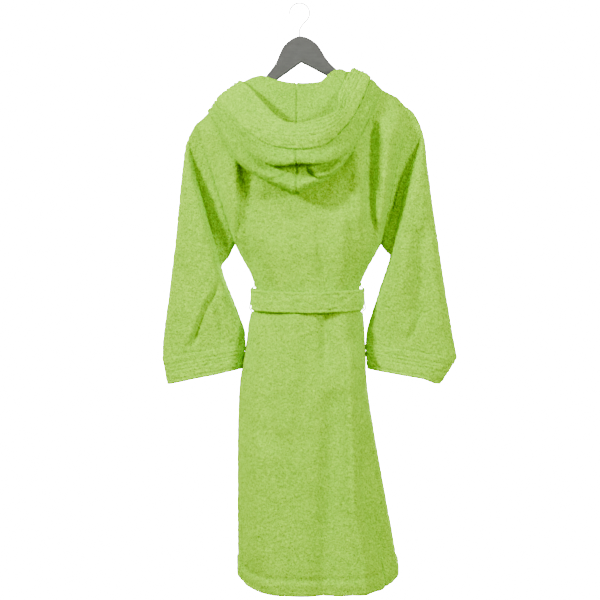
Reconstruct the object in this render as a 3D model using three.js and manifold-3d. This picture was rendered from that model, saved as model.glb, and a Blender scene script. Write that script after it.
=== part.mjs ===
// Hooded terry bath gown, hung on a wooden hanger.
// Millimetres, +Z up. The origin is the highest inside point of the hook, where it sits on a
// rail or peg. -Y is the wearer's back, +Y the front, and -X the wearer's left.
import * as THREE from 'three';
import { mergeVertices } from 'three/addons/utils/BufferGeometryUtils.js';
import Module from 'manifold-3d';

const wasm = await Module();
wasm.setup();

// ---------------------------------------------------------------- driving dimensions

// Hook
const hookWire = 3.2;
const hookBend = 24; // radius of the bend, to the middle of the wire
const hookToCrown = 78.5; // hook seat to the top of the hanger
const shankInWood = 52;
const shankPlay = 0.6; // round the shank, in its hole
const headDiameter = 7;
const headHeight = 3;
const washerThickness = 1;

// Hanger
const hangerThickness = 14;
const hangerBevel = 2;
const crownHeight = 62.5; // top of the crown to the notch under it
const crownHalf = 63; // half width of the crown where it runs into the arms
const armStart = 87; // where the arms run straight
const armDrop = 90; // from the top of the crown down to that point
const armSlope = 0.6;
const armHeight = 28;
const hangerInset = 38; // hanger tip to gown shoulder tip
const hangerTilt = THREE.MathUtils.degToRad(4); // the hanger hangs low on the left
const counterbore = 10;

// Gown
const cloth = 5;
const seam = 1; // gap between two pieces that are sewn edge to edge
const rest = 0.6; // gap between two pieces that lie on each other
const insideGap = 1.7; // between the curved back and what is sewn inside it
const shoulderStand = 0.4; // the shoulder seam stands off the wood by this share of its flat top
const shoulderWidth = 506;
const gownShift = -7; // the gown sits this far to the left along the hanger
const neckHalf = 104;
const napeDrop = 128; // top of the crown to the back neck seam
const shoulderRound = 90; // drop over which the shoulder rounds out to its full depth
const tipFall = { [-1]: 5, [1]: 14 }; // beyond the hanger the shoulder falls this much more
const armholeDepth = 50; // half the opening, front to back
const gownLength = 1190; // back neck seam to hem, at the back
const hemRise = 48; // the hem is higher at the sides than at the back

// Heights below the back neck seam, full widths, and how far the middle stands to the right
const underarm = { drop: 368, width: 348, lean: 20, back: 78, front: 76 };
const waist = { drop: 502, width: 248, lean: 19, back: 66, front: 60 };
const hip = { drop: 735, width: 306, lean: 10, back: 92, front: 76 };
const hem = { width: 380, lean: 44, back: 110, front: 88 };
const neckDepth = 48; // half depth of the gown at the neck

// Front
const frontOverlap = 45; // each front edge passes the middle by this much
const overlapGap = 4; // the left front lies this far off the right one
const overlapRamp = 40;
const bandWidth = 48;

// Sleeves
const cuffSeamDrop = 643; // back neck seam down to the outer end of the cuff seam
const sleeveGap = 5; // armhole seam, with room for the sleeve to swing
const cuffOut = { [-1]: 77, [1]: 115 }; // the cuff's outer end, out from the shoulder tip
const cuffHeight = 60;
const cuffDepth = 38; // half depth
const cuffRise = 36; // the inner end of the cuff is higher than the outer end
const cuffLean = 26; // the outer end of the hem leans in by this much
const cuffToHip = 3; // gap between the cuff and the side of the gown
const beltToSleeve = 8; // least gap between a belt carrier and the middle of the sleeve's cloth
const shoulderCorner = { out: 41, down: 72 };

// Hood
const hoodDrop = 266; // back neck seam to the tip of the hanging hood
const hoodLift = 8; // gap that keeps the hood off the back
const hoodBulge = 44; // half depth of the bag
const rimDrop = 96; // back neck seam to the middle of the opening's rim
const hoodBandWidth = 48;
const hoodBandGap = 10; // room for the thick edges of the band and the bag, which meet at an angle
const hoodBandReach = 5 / 6; // from the middle of the rim (0) to where it passes over the shoulder (1)

// Belt
const beltWidth = 45;
const beltThickness = 8;
const beltClearance = 6;
const beltSag = 9;
const tailLength = 430;
const tailSpread = 27; // middle of each tail, from the middle of the knot
const tailGap = 10; // under the knot
const knot = { width: 84, depth: 36, height: 50 };
const loopStrip = 10;
const loopHeight = 84;
const loopThickness = 2;
const loopSlack = 5; // room for the belt in its carrier

// Pockets, and what is sewn inside the neck
const pocketDrop = 640; // back neck seam to the pocket mouth
const pocketHeight = 180;
const pocketWidth = 66; // seen from the front; the pocket wraps round the side
const pocketFromEdge = 14; // from the side seam
const pocketBulge = 14;
const tapeWidth = 12;
const tapeThickness = 1.4;
const tapeHalf = 32;
const tapeDrop = 4; // back neck seam to the top of the tape
const labelSize = { width: 36, height: 46, thickness: 0.8 };
const loopCord = 4;
const loopHalf = 26;
const loopDrop = 8; // back neck seam to the sewn ends of the loop
const loopHang = 32; // from there to its lowest point

// ---------------------------------------------------------------- derived places

const overlapStep = cloth + overlapGap;
const crownZ = -hookToCrown;
const napeZ = crownZ - napeDrop;
const shoulderHalf = shoulderWidth / 2;
const hangerHalf = shoulderHalf - hangerInset;
const flatTop = hangerThickness - 2 * hangerBevel;
const onHanger = cloth / 2 + rest + shoulderStand * flatTop; // middle of the cloth above the wood
const beltZ = napeZ - waist.drop;
const hoodTipZ = napeZ - hoodDrop;
const drawnIn = beltWidth / 2 + beltSag + 3; // the gown is drawn in this far up and down
const carrierFoot = cloth / 2 + 2 * rest + 2;
const carrierBow = beltClearance + beltThickness + loopSlack;
const carrierOut = carrierFoot + carrierBow + loopThickness;

// ---------------------------------------------------------------- materials

const finish = (color, roughness, metalness = 0) =>
  new THREE.MeshStandardMaterial({ color, roughness, metalness });
const terry = finish(0xaacb5e, 0.95);
const terryShade = finish(0x9cc04e, 0.95);
const terryDeep = finish(0x8ab33a, 0.95);
const cotton = finish(0x93b848, 0.85);
const labelCloth = finish(0xf1f1ec, 0.8);
const wood = finish(0x73746f, 0.5);
const steel = finish(0xa8a9a8, 0.3, 1);

// ---------------------------------------------------------------- helpers

const { lerp, clamp, smoothstep } = THREE.MathUtils;

// A smooth function through a few points [at, value], given in rising order of `at`.
function through(points) {
  const slopes = points.map((p, i) => {
    const a = points[Math.max(i - 1, 0)];
    const b = points[Math.min(i + 1, points.length - 1)];
    return (b[1] - a[1]) / (b[0] - a[0]);
  });
  return (at) => {
    const x = clamp(at, points[0][0], points.at(-1)[0]);
    let i = 0;
    while (i < points.length - 2 && x > points[i + 1][0]) i += 1;
    const [x0, y0] = points[i];
    const [x1, y1] = points[i + 1];
    const h = x1 - x0;
    const t = (x - x0) / h;
    const s = 1 - t;
    return (
      y0 * s * s * (1 + 2 * t) + y1 * t * t * (3 - 2 * t)
      + slopes[i] * h * t * s * s - slopes[i + 1] * h * t * t * s
    );
  };
}

// A sheet of cloth with thickness round the surface point(u, v), with u and v from 0 to 1.
// lift(u, v) moves it off that surface, to the side that `outward` points to, and trim(p) keeps
// its edges on their own side of a seam.
function sheet(point, nu, nv, options) {
  const { thickness = cloth, lift = () => 0, outward, closed = false, trim = (p) => p } = options;
  const columns = closed ? nu : nu + 1;
  const grid = [];
  for (let i = 0; i < columns; i += 1) {
    for (let j = 0; j <= nv; j += 1) grid.push(point(i / nu, j / nv));
  }
  const at = (i, j) => (i % columns) * (nv + 1) + j;
  const quads = [];
  for (let i = 0; i < nu; i += 1) {
    for (let j = 0; j < nv; j += 1) {
      quads.push([at(i, j), at(i + 1, j), at(i + 1, j + 1), at(i, j + 1)]);
    }
  }
  const normals = weldedNormals(grid, quads);
  const middle = Math.floor(columns / 2) * (nv + 1) + Math.floor(nv / 2);
  if (normals[middle].dot(outward(grid[middle])) < 0) normals.forEach((n) => n.negate());

  const layer = (side) => grid.map((p, k) => {
    const off = lift(Math.floor(k / (nv + 1)) / nu, (k % (nv + 1)) / nv) + side * thickness / 2;
    return trim(p.clone().addScaledVector(normals[k], off));
  });
  const positions = [...layer(1), ...layer(-1)];
  const under = grid.length;
  const faces = [];
  const quad = (a, b, c, d) => faces.push([a, b, c], [a, c, d]);
  quads.forEach(([a, b, c, d]) => {
    quad(a, b, c, d);
    quad(a + under, d + under, c + under, b + under);
  });
  for (let i = 0; i < nu; i += 1) {
    quad(at(i, 0), at(i, 0) + under, at(i + 1, 0) + under, at(i + 1, 0));
    quad(at(i, nv), at(i + 1, nv), at(i + 1, nv) + under, at(i, nv) + under);
  }
  for (let j = 0; j < nv && !closed; j += 1) {
    quad(at(0, j), at(0, j + 1), at(0, j + 1) + under, at(0, j) + under);
    quad(at(nu, j), at(nu, j) + under, at(nu, j + 1) + under, at(nu, j + 1));
  }
  return solid(positions, faces);
}

// Normals at each grid point, shared by points that lie at the same place.
function weldedNormals(grid, quads) {
  const key = (p) => `${p.x.toFixed(3)},${p.y.toFixed(3)},${p.z.toFixed(3)}`;
  const sums = new Map();
  quads.forEach((corners) => {
    const [a, b, c, d] = corners.map((k) => grid[k]);
    const normal = c.clone().sub(a).cross(d.clone().sub(b));
    corners.forEach((k) => {
      const sum = sums.get(key(grid[k])) ?? new THREE.Vector3();
      sums.set(key(grid[k]), sum.add(normal));
    });
  });
  return grid.map((p) => sums.get(key(p)).clone().normalize());
}

// Closed geometry from points and triangles, with faces out and no slivers.
function solid(positions, faces) {
  const raw = new THREE.BufferGeometry();
  raw.setAttribute('position', new THREE.Float32BufferAttribute(positions.flatMap((p) => p.toArray()), 3));
  raw.setIndex(faces.flat());
  const merged = mergeVertices(raw, 1e-3);
  const index = merged.getIndex().array;
  const corner = (k) => new THREE.Vector3().fromBufferAttribute(merged.getAttribute('position'), k);
  const kept = [];
  let volume = 0;
  for (let k = 0; k < index.length; k += 3) {
    const [a, b, c] = index.slice(k, k + 3);
    if (a === b || b === c || c === a) continue;
    kept.push([a, b, c]);
    volume += corner(a).dot(corner(b).cross(corner(c)));
  }
  merged.setIndex((volume > 0 ? kept : kept.map(([a, b, c]) => [a, c, b])).flat());
  merged.computeVertexNormals();
  return merged;
}

function toManifold(geometry) {
  const bare = geometry.clone();
  bare.deleteAttribute('normal');
  bare.deleteAttribute('uv');
  const merged = mergeVertices(bare, 1e-4);
  return new wasm.Manifold(new wasm.Mesh({
    numProp: 3,
    vertProperties: new Float32Array(merged.getAttribute('position').array),
    triVerts: new Uint32Array(merged.getIndex().array),
  }));
}

function fromManifold(manifold) {
  const mesh = manifold.getMesh();
  const geometry = new THREE.BufferGeometry();
  geometry.setAttribute('position', new THREE.Float32BufferAttribute(mesh.vertProperties, 3));
  geometry.setIndex(new THREE.Uint32BufferAttribute(mesh.triVerts, 1));
  geometry.computeVertexNormals();
  return geometry;
}

function uprightCylinder(radius, top, bottom, sides = 16) {
  return new THREE.CylinderGeometry(radius, radius, top - bottom, sides)
    .rotateX(Math.PI / 2)
    .translate(0, 0, (top + bottom) / 2);
}

const gown = new THREE.Group();

function add(name, geometry, material) {
  const mesh = new THREE.Mesh(geometry, material);
  mesh.name = name;
  gown.add(mesh);
}

// ---------------------------------------------------------------- hook

const washerTopZ = crownZ - shankInWood;
const headTopZ = washerTopZ - washerThickness - rest;

function hookPath() {
  const seatZ = -hookBend - hookWire / 2;
  const path = new THREE.CurvePath();
  const bend = [];
  for (let degrees = 182; degrees >= -35; degrees -= 15.5) {
    const turn = THREE.MathUtils.degToRad(degrees);
    bend.push(new THREE.Vector3(hookBend * Math.cos(turn), 0, seatZ + hookBend * Math.sin(turn) + hookWire));
  }
  const shankTop = new THREE.Vector3(0, 0, crownZ + 18);
  path.add(new THREE.CatmullRomCurve3([...bend, shankTop, new THREE.Vector3(0, 0, crownZ + 6)]));
  path.add(new THREE.LineCurve3(new THREE.Vector3(0, 0, crownZ + 6), new THREE.Vector3(0, 0, headTopZ - 1)));
  return path;
}

function hook() {
  const wire = new THREE.Shape().absellipse(0, 0, hookWire / 2, hookWire / 2, 0, 2 * Math.PI);
  const options = { steps: 40, bevelEnabled: false, extrudePath: hookPath(), curveSegments: 4 };
  const rod = toManifold(new THREE.ExtrudeGeometry(wire, options));
  const head = toManifold(uprightCylinder(headDiameter / 2, headTopZ, headTopZ - headHeight));
  return fromManifold(rod.add(head));
}

function washer() {
  const inner = hookWire / 2 + shankPlay;
  const profile = [
    [inner, 0], [headDiameter / 2 + 0.4, 0], [headDiameter / 2 + 0.4, washerThickness],
    [inner, washerThickness], [inner, 0],
  ].map(([x, y]) => new THREE.Vector2(x, y));
  return new THREE.LatheGeometry(profile, 24)
    .rotateX(Math.PI / 2)
    .translate(0, 0, washerTopZ - washerThickness);
}

add('hanger_hook', hook(), steel);
add('hook_washer', solidLathe(washer()), steel);

function solidLathe(geometry) {
  const points = geometry.getAttribute('position');
  const positions = [];
  for (let k = 0; k < points.count; k += 1) {
    positions.push(new THREE.Vector3().fromBufferAttribute(points, k));
  }
  const index = [...geometry.getIndex().array];
  const faces = [];
  for (let k = 0; k < index.length; k += 3) faces.push(index.slice(k, k + 3));
  return solid(positions, faces);
}

// ---------------------------------------------------------------- hanger

// Height of the top of an arm above the crown's top, in the hanger's own untilted frame.
const armTop = (x) => -armDrop - armSlope * (Math.abs(x) - armStart);

// From the hanger's own frame, which turns about the top of the crown, to the gown's.
function tilted(x, z) {
  const c = Math.cos(hangerTilt);
  const s = Math.sin(hangerTilt);
  return new THREE.Vector2(x * c - z * s, crownZ + z * c + x * s);
}

function hangerBody() {
  const outline = new THREE.Shape();
  const crown = [[crownHalf * 0.6, -0.31 * crownHeight], [crownHalf, -crownHeight], [armStart, -armDrop]];
  const right = crown.map(([x, z]) => new THREE.Vector2(x, z));
  const left = crown.map(([x, z]) => new THREE.Vector2(-x, z)).reverse();
  const tip = hangerHalf - armHeight / 2;
  outline.moveTo(-armStart, -armDrop);
  outline.splineThru([...left.slice(1), new THREE.Vector2(0, 0), ...right]);
  outline.lineTo(tip, armTop(tip));
  outline.quadraticCurveTo(hangerHalf, armTop(hangerHalf), hangerHalf, armTop(hangerHalf) - armHeight / 2);
  outline.quadraticCurveTo(hangerHalf, armTop(hangerHalf) - armHeight, tip, armTop(tip) - armHeight);
  outline.lineTo(0, -crownHeight);
  outline.lineTo(-tip, armTop(tip) - armHeight);
  outline.quadraticCurveTo(-hangerHalf, armTop(hangerHalf) - armHeight,
    -hangerHalf, armTop(hangerHalf) - armHeight / 2);
  outline.quadraticCurveTo(-hangerHalf, armTop(hangerHalf), -tip, armTop(tip));
  outline.lineTo(-armStart, -armDrop);
  const bevel = hangerBevel;
  const blank = new THREE.ExtrudeGeometry(outline, {
    depth: hangerThickness - 2 * bevel,
    bevelThickness: bevel,
    bevelSize: bevel,
    bevelOffset: -bevel,
    bevelSegments: 1,
    curveSegments: 5,
  });
  blank.rotateX(Math.PI / 2).translate(0, hangerThickness / 2 - bevel, 0);
  blank.rotateY(-hangerTilt).translate(0, 0, crownZ);
  const shankHole = uprightCylinder(hookWire / 2 + shankPlay, crownZ + 10, crownZ - crownHeight - 10);
  const bore = uprightCylinder(counterbore / 2, washerTopZ + rest, crownZ - crownHeight - 10);
  return fromManifold(toManifold(blank).subtract(toManifold(shankHole)).subtract(toManifold(bore)));
}

add('hanger_body', hangerBody(), wood);

// ---------------------------------------------------------------- body of the gown

// Shoulder seam, from the neck (k = 0) to the shoulder tip (k = 1); side is -1 left, 1 right.
function shoulderSeam(side, k) {
  const x = side * lerp(neckHalf, shoulderHalf, k) + gownShift;
  const fall = tipFall[side] * smoothstep(Math.abs(x), hangerHalf, shoulderHalf);
  const z = armTop(x) + onHanger - fall;
  return tilted(x, z);
}

// Height of the shoulder line at x, carried on across the neck.
function shoulderLine(x) {
  const side = x < 0 ? -1 : 1;
  const neck = shoulderSeam(side, 0);
  const far = shoulderSeam(side, 0.7);
  return neck.y + (far.y - neck.y) * (x - neck.x) / (far.x - neck.x);
}

const tipOf = { [-1]: shoulderSeam(-1, 1), [1]: shoulderSeam(1, 1) };
const underarmZ = napeZ - underarm.drop;
const hipZ = napeZ - hip.drop;
const hemSideZ = napeZ - gownLength + hemRise;

// Side seam below the underarm, and the armhole edge above it.
const sideSeam = (side) => through([
  [hemSideZ, hem.lean + side * hem.width / 2],
  [hipZ, hip.lean + side * hip.width / 2],
  [beltZ - drawnIn, waist.lean + side * waist.width / 2],
  [beltZ + drawnIn, waist.lean + side * waist.width / 2],
  [underarmZ, underarm.lean + side * underarm.width / 2],
]);
const seams = { [-1]: sideSeam(-1), [1]: sideSeam(1) };
const underarmOf = {
  [-1]: new THREE.Vector2(seams[-1](underarmZ), underarmZ),
  [1]: new THREE.Vector2(seams[1](underarmZ), underarmZ),
};

function edgeX(side, z) {
  if (z <= underarmZ) return seams[side](z);
  const tip = tipOf[side];
  const t = clamp((tip.y - z) / (tip.y - underarmZ), 0, 1);
  return lerp(tip.x, underarmOf[side].x, t);
}

// Half depth of the armhole opening at height z.
function armholeY(side, z) {
  const t = (tipOf[side].y - z) / (tipOf[side].y - underarmZ);
  return t <= 0 || t >= 1 ? 0 : armholeDepth * Math.sqrt(1 - (2 * t - 1) ** 2);
}

const depthOf = (face) => through([
  [hemSideZ, hem[face]],
  [hipZ, hip[face]],
  [beltZ - drawnIn, waist[face]],
  [beltZ + drawnIn, waist[face]],
  [underarmZ, underarm[face]],
  [napeZ, neckDepth],
]);
const depths = { back: depthOf('back'), front: depthOf('front') };

// How far the gown's wall stands from its middle plane, at (x, z).
function wallY(face, x, z) {
  const middle = (edgeX(-1, z) + edgeX(1, z)) / 2;
  const half = (edgeX(1, z) - edgeX(-1, z)) / 2;
  const q = clamp((x - middle) / half, -1, 1);
  const edge = armholeY(q < 0 ? -1 : 1, z);
  const below = clamp((shoulderLine(x) - z) / shoulderRound, 0, 1);
  const full = depths[face](z) * Math.sqrt(1 - (1 - below) ** 2);
  return seam / 2 + edge + (full - edge) * Math.sqrt(1 - q * q);
}

// Height of a row of a panel. Rows lie closer together towards the shoulder, where the panel
// is round, and one row spans the belt, where the panel is drawn in.
const rows = { aboveBelt: 9, all: 18 };

function rowZ(topZ, lowZ, v) {
  const row = v * rows.all;
  const below = row - rows.aboveBelt;
  if (below <= 0) return lerp(topZ, beltZ + drawnIn, (row / rows.aboveBelt) ** 1.9);
  if (below <= 1) return beltZ + drawnIn - 2 * drawnIn * below;
  return lerp(beltZ - drawnIn, lowZ, (below - 1) / (rows.all - rows.aboveBelt - 1));
}

function hemZ(x) {
  const middle = hem.lean;
  return hemSideZ - hemRise * Math.sqrt(clamp(1 - ((x - middle) / (hem.width / 2)) ** 2, 0, 1));
}

// Top edge of the back, from the left shoulder tip through the neck to the right one.
function backTop(u) {
  const k = 2 * u - 1;
  const side = k < 0 ? -1 : 1;
  const neckShare = 0.36;
  if (Math.abs(k) >= neckShare) return shoulderSeam(side, (Math.abs(k) - neckShare) / (1 - neckShare));
  const left = shoulderSeam(-1, 0);
  const right = shoulderSeam(1, 0);
  const t = (k / neckShare + 1) / 2;
  const level = lerp(left.y, right.y, t);
  const dip = smoothstep(1 - Math.abs(2 * t - 1), 0.12, 0.7);
  return new THREE.Vector2(lerp(left.x, right.x, t), lerp(level, napeZ, dip));
}

function backPoint(u, v) {
  const top = backTop(u);
  const low = hemZ(lerp(edgeX(-1, hemSideZ), edgeX(1, hemSideZ), u));
  const z = rowZ(top.y, low, v);
  const spread = 0.5 - 0.5 * Math.cos(Math.PI * u);
  const wide = lerp(edgeX(-1, z), edgeX(1, z), lerp(u, spread, smoothstep(v, 0, 0.5)));
  const x = lerp(top.x, wide, smoothstep(v, 0, 0.12));
  return new THREE.Vector3(x, -wallY('back', x, z), z);
}

const backward = () => new THREE.Vector3(0, -1, 0);

function keepBack(p) {
  p.y = Math.min(p.y, -seam / 2);
  return p;
}

add('back_panel', sheet(backPoint, 18, rows.all, { outward: backward, trim: keepBack }), terry);

// Front edge of each front panel: from the neck across to the other side at the belt, then down.
function frontEdgeX(side, z) {
  const neck = shoulderSeam(side, 0);
  const low = waist.lean - side * frontOverlap;
  const t = clamp((neck.y - z) / (neck.y - beltZ), 0, 1);
  return lerp(neck.x, low, t ** 0.9);
}

// The left front lies outside the right one where they overlap.
function frontY(side, x, z) {
  const over = side < 0 ? smoothstep(x, frontEdgeX(1, z) - overlapRamp, frontEdgeX(1, z)) : 0;
  return wallY('front', x, z) + overlapStep * over;
}

// Across a front, `across` runs from 0 at the side to 1 at the seam of the stitched band, and
// then to 2 at the front edge.
const bandShare = bandWidth / (shoulderHalf - neckHalf);

function frontPoint(side, across, v) {
  const onBand = Math.max(across - 1, 0);
  const k = across <= 1 ? lerp(1, bandShare, across) : bandShare * (1 - onBand);
  const top = shoulderSeam(side, k);
  const place = (z) => {
    const edge = frontEdgeX(side, z);
    const bandSeam = edge + side * bandWidth;
    if (across > 1) return lerp(bandSeam, edge, onBand);
    return lerp(edgeX(side, z), bandSeam, lerp(across, 1 - Math.cos(Math.PI * across / 2), 0.7));
  };
  const z = rowZ(top.y, hemZ(place(hemSideZ)), v);
  const x = lerp(top.x, place(z), smoothstep(v, 0, 0.2));
  return new THREE.Vector3(x, frontY(side, x, z), z);
}

const forward = () => new THREE.Vector3(0, 1, 0);
const sideName = { [-1]: 'left', [1]: 'right' };

function keepFront(p) {
  p.y = Math.max(p.y, seam / 2);
  return p;
}

for (const side of [-1, 1]) {
  const options = { outward: forward, trim: keepFront };
  const panel = (u, v) => frontPoint(side, u, v);
  const band = (u, v) => frontPoint(side, 1 + seam / bandWidth + u * (1 - seam / bandWidth), v);
  add(`${sideName[side]}_front_panel`, sheet(panel, 9, rows.all, options), terry);
  add(`${sideName[side]}_front_band`, sheet(band, 2, rows.all, options), terryShade);
}

// ---------------------------------------------------------------- sleeves

// The sleeve's outer and inner edges in the XZ plane, from the armhole (s = 0) to the cuff.
function sleeveEdges(side) {
  const tip = tipOf[side];
  const arm = underarmOf[side];
  const along = arm.clone().sub(tip).normalize();
  const out = new THREE.Vector2(-along.y * side, along.x * side).multiplyScalar(side);
  if (out.x * side < 0) out.negate();
  const start = tip.clone().addScaledVector(out, sleeveGap);
  const pit = arm.clone().addScaledVector(out, sleeveGap);
  const cuffOuter = new THREE.Vector2(tip.x + side * cuffOut[side], napeZ - cuffSeamDrop);
  const hang = tip.y - cuffOuter.y;
  const innerZ = cuffOuter.y + cuffRise;
  const beside = Math.max(edgeX(side, innerZ) * side, edgeX(side, innerZ - cuffHeight) * side);
  const cuffInner = new THREE.Vector2(side * (beside + cloth + cuffToHip), innerZ);
  const corner = new THREE.Vector2(tip.x + side * shoulderCorner.out, tip.y - shoulderCorner.down);
  const outer = new THREE.SplineCurve([
    start, corner, corner.clone().lerp(cuffOuter, 0.5), cuffOuter,
  ]);
  const belowPit = pit.clone().add(new THREE.Vector2(side * 16, -0.1 * hang));
  const byBelt = belowPit.clone().lerp(cuffInner, 0.55);
  byBelt.x = side * Math.max(side * byBelt.x, side * edgeX(side, beltZ) + carrierOut + beltToSleeve);
  const inner = new THREE.SplineCurve([pit, belowPit, byBelt, cuffInner]);
  return { outer, inner, cuffOuter, cuffInner };
}

function sleevePoint(side) {
  const { outer, inner } = sleeveEdges(side);
  return (u, v) => {
    const a = outer.getPoint(v);
    const b = inner.getPoint(v);
    const turn = 2 * Math.PI * u;
    const k = (1 + Math.cos(turn)) / 2;
    const depth = lerp(armholeDepth, cuffDepth, v);
    return new THREE.Vector3(lerp(b.x, a.x, k), depth * Math.sin(turn), lerp(b.y, a.y, k));
  };
}

// The cuff carries the sleeve's last ring on, and its outer end leans in.
function cuffPoint(side) {
  const { cuffOuter, cuffInner } = sleeveEdges(side);
  return (u, v) => {
    const turn = 2 * Math.PI * u;
    const k = (1 + Math.cos(turn)) / 2;
    const x = lerp(cuffInner.x, cuffOuter.x - side * cuffLean * v, k);
    const z = lerp(cuffInner.y, cuffOuter.y, k) - 2 * seam - v * cuffHeight;
    return new THREE.Vector3(x, cuffDepth * Math.sin(turn), z);
  };
}

for (const side of [-1, 1]) {
  const outward = (p) => new THREE.Vector3(p.x - (tipOf[side].x + underarmOf[side].x) / 2, p.y, 0);
  add(`${sideName[side]}_sleeve`, sheet(sleevePoint(side), 16, 8, { outward, closed: true }), terry);
  const middle = (sleeveEdges(side).cuffOuter.x + sleeveEdges(side).cuffInner.x) / 2;
  const fromMiddle = (p) => new THREE.Vector3(p.x - middle, p.y, 0);
  const cuff = sheet(cuffPoint(side), 16, 1, { outward: fromMiddle, closed: true });
  add(`${sideName[side]}_cuff`, cuff, terryShade);
}

// ---------------------------------------------------------------- hood

// Half widths of the hanging hood against its height above the tip, as a share of hoodDrop.
const hoodHalf = {
  [-1]: through([[0, 0], [0.15, 84], [0.44, 156], [0.74, 203], [0.9, 184], [1.06, 138]]),
  [1]: through([[0, 0], [0.1, 36], [0.23, 90], [0.59, 147], [0.93, 192], [1.16, 130]]),
};
const hoodDepth = through([[0, 0], [0.2, 0.7], [0.5, 1], [0.75, 0.9], [1.06, 0.45], [1.16, 0.4]]);
const hoodSeamX = -2;
const cornerZ = { [-1]: napeZ + 15, [1]: napeZ + 42 }; // where the rim passes over the shoulder

// A point of the hood. t is 0 at the middle of the outer wall, 1 at the side, and 2 at the
// middle of the wall that lies on the back.
function hoodPoint(side, t, z) {
  const rise = (z - hoodTipZ) / hoodDrop;
  const turn = t * Math.PI / 2;
  const gap = side * seam / 2;
  const x = hoodSeamX + gap + side * hoodHalf[side](rise) * Math.sin(turn);
  const y = -wallY('back', x, z) - cloth - hoodLift;
  return new THREE.Vector3(x, y - hoodBulge * hoodDepth(rise) * (1 + Math.cos(turn)), z);
}

// Height of the band's seam and of the rim on the outer wall; both rise to the sides.
function bandSeamZ(side, t) {
  const bow = Math.max(Math.cos(t * Math.PI / 2), 0) ** 1.3;
  return lerp(cornerZ[side] - 30, napeZ - rimDrop - hoodBandWidth, bow);
}

function rimZ(side, t) {
  const bow = Math.max(Math.cos(t * Math.PI / 2), 0) ** 6;
  return lerp(cornerZ[side], napeZ - rimDrop, bow);
}

function hoodTopZ(side, t) {
  if (t <= 1) return bandSeamZ(side, t);
  const rear = lerp(cornerZ[side], napeZ + 6, smoothstep(t, 1.3, 2));
  return lerp(bandSeamZ(side, 1), rear, smoothstep(t, 1.16, 1.4));
}

const hoodOut = (p) => new THREE.Vector3(Math.sign(p.x - hoodSeamX), 0, 0);

for (const side of [-1, 1]) {
  const half = (u, v) => hoodPoint(side, 2 * u, lerp(hoodTipZ, hoodTopZ(side, 2 * u), v));
  const trim = (p) => {
    const limit = hoodSeamX + side * seam / 2;
    p.x = side < 0 ? Math.min(p.x, limit) : Math.max(p.x, limit);
    return p;
  };
  add(`hood_${sideName[side]}_half`, sheet(half, 12, 8, { outward: hoodOut, trim }), terryShade);
}

function hoodBandPoint(u, v) {
  const side = u < 0.5 ? -1 : 1;
  const t = hoodBandReach * Math.abs(2 * u - 1);
  const z = lerp(bandSeamZ(side, t) + hoodBandGap, rimZ(side, t), v);
  const point = hoodPoint(side, t, z);
  if (t === 0) point.x = hoodSeamX;
  return point;
}

add('hood_band', sheet(hoodBandPoint, 10, 2, { outward: backward }), terryDeep);

// ---------------------------------------------------------------- belt

const beltInner = cloth / 2 + beltClearance;
const beltFrontInner = overlapStep + beltInner;

function beltPoint(u, v) {
  const turn = 2 * Math.PI * u;
  const half = waist.width / 2 + beltInner + beltThickness / 2;
  const front = Math.sin(turn) > 0;
  const depth = front ? waist.front + beltFrontInner : waist.back + beltInner;
  const x = waist.lean + half * Math.cos(turn);
  const y = (depth + beltThickness / 2) * Math.sign(Math.sin(turn)) * Math.abs(Math.sin(turn)) ** 0.8;
  const sag = front ? 0 : beltSag * Math.abs(Math.sin(turn));
  return new THREE.Vector3(x, y, beltZ - sag + (0.5 - v) * beltWidth);
}

const fromWaist = (p) => new THREE.Vector3(p.x - waist.lean, p.y, 0);
const belt = sheet(beltPoint, 32, 2, { outward: fromWaist, closed: true, thickness: beltThickness });
add('belt', belt, terryShade);

const knotY = waist.front + beltFrontInner + beltThickness + rest + 2 + knot.depth / 2;
const knotBody = new THREE.SphereGeometry(0.5, 16, 8);
knotBody.rotateX(Math.PI / 2).scale(knot.width, knot.depth, knot.height);
knotBody.translate(waist.lean, knotY, beltZ);
add('belt_knot', solidLathe(knotBody), terryShade);

for (const side of [-1, 1]) {
  const top = beltZ - knot.height / 2 - tailGap;
  const middle = waist.lean + side * tailSpread;
  const tail = (u, v) => new THREE.Vector3(
    middle + (u - 0.5) * beltWidth, knotY + knot.depth / 2 - beltThickness, top - v * tailLength,
  );
  const strip = sheet(tail, 2, 6, { outward: forward, thickness: beltThickness });
  add(`${sideName[side]}_belt_tail`, strip, terryShade);
}

// Belt carriers: a strip on each side seam, standing off round the belt.
for (const side of [-1, 1]) {
  const carrier = (u, v) => {
    const z = beltZ + (0.5 - v) * loopHeight;
    const x = edgeX(side, z) + side * (carrierFoot + carrierBow * Math.sin(Math.PI * v) ** 0.4);
    return new THREE.Vector3(x, (u - 0.5) * loopStrip, z);
  };
  const outward = () => new THREE.Vector3(side, 0, 0);
  const strip = sheet(carrier, 1, 12, { outward, thickness: loopThickness });
  add(`${sideName[side]}_belt_carrier`, strip, terryDeep);
}

// ---------------------------------------------------------------- pockets

for (const side of [-1, 1]) {
  const mouthZ = napeZ - pocketDrop;
  const pocket = (u, v) => {
    const z = mouthZ - v * pocketHeight;
    const x = edgeX(side, z) - side * (pocketFromEdge + u * pocketWidth);
    return new THREE.Vector3(x, frontY(side, x, z), z);
  };
  const lift = (u, v) => cloth + rest + 1 + pocketBulge * Math.sin(Math.PI * u) * (1 - v * v);
  add(`${sideName[side]}_pocket`, sheet(pocket, 8, 5, { outward: forward, lift }), terryShade);
}

// ---------------------------------------------------------------- inside the neck

const insideNeck = (thickness) => -(cloth / 2 + insideGap + thickness / 2);

function neckTape(u, v) {
  const x = lerp(-tapeHalf, tapeHalf, u);
  const z = napeZ - tapeDrop - v * tapeWidth;
  return new THREE.Vector3(x, -wallY('back', x, z), z);
}

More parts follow.
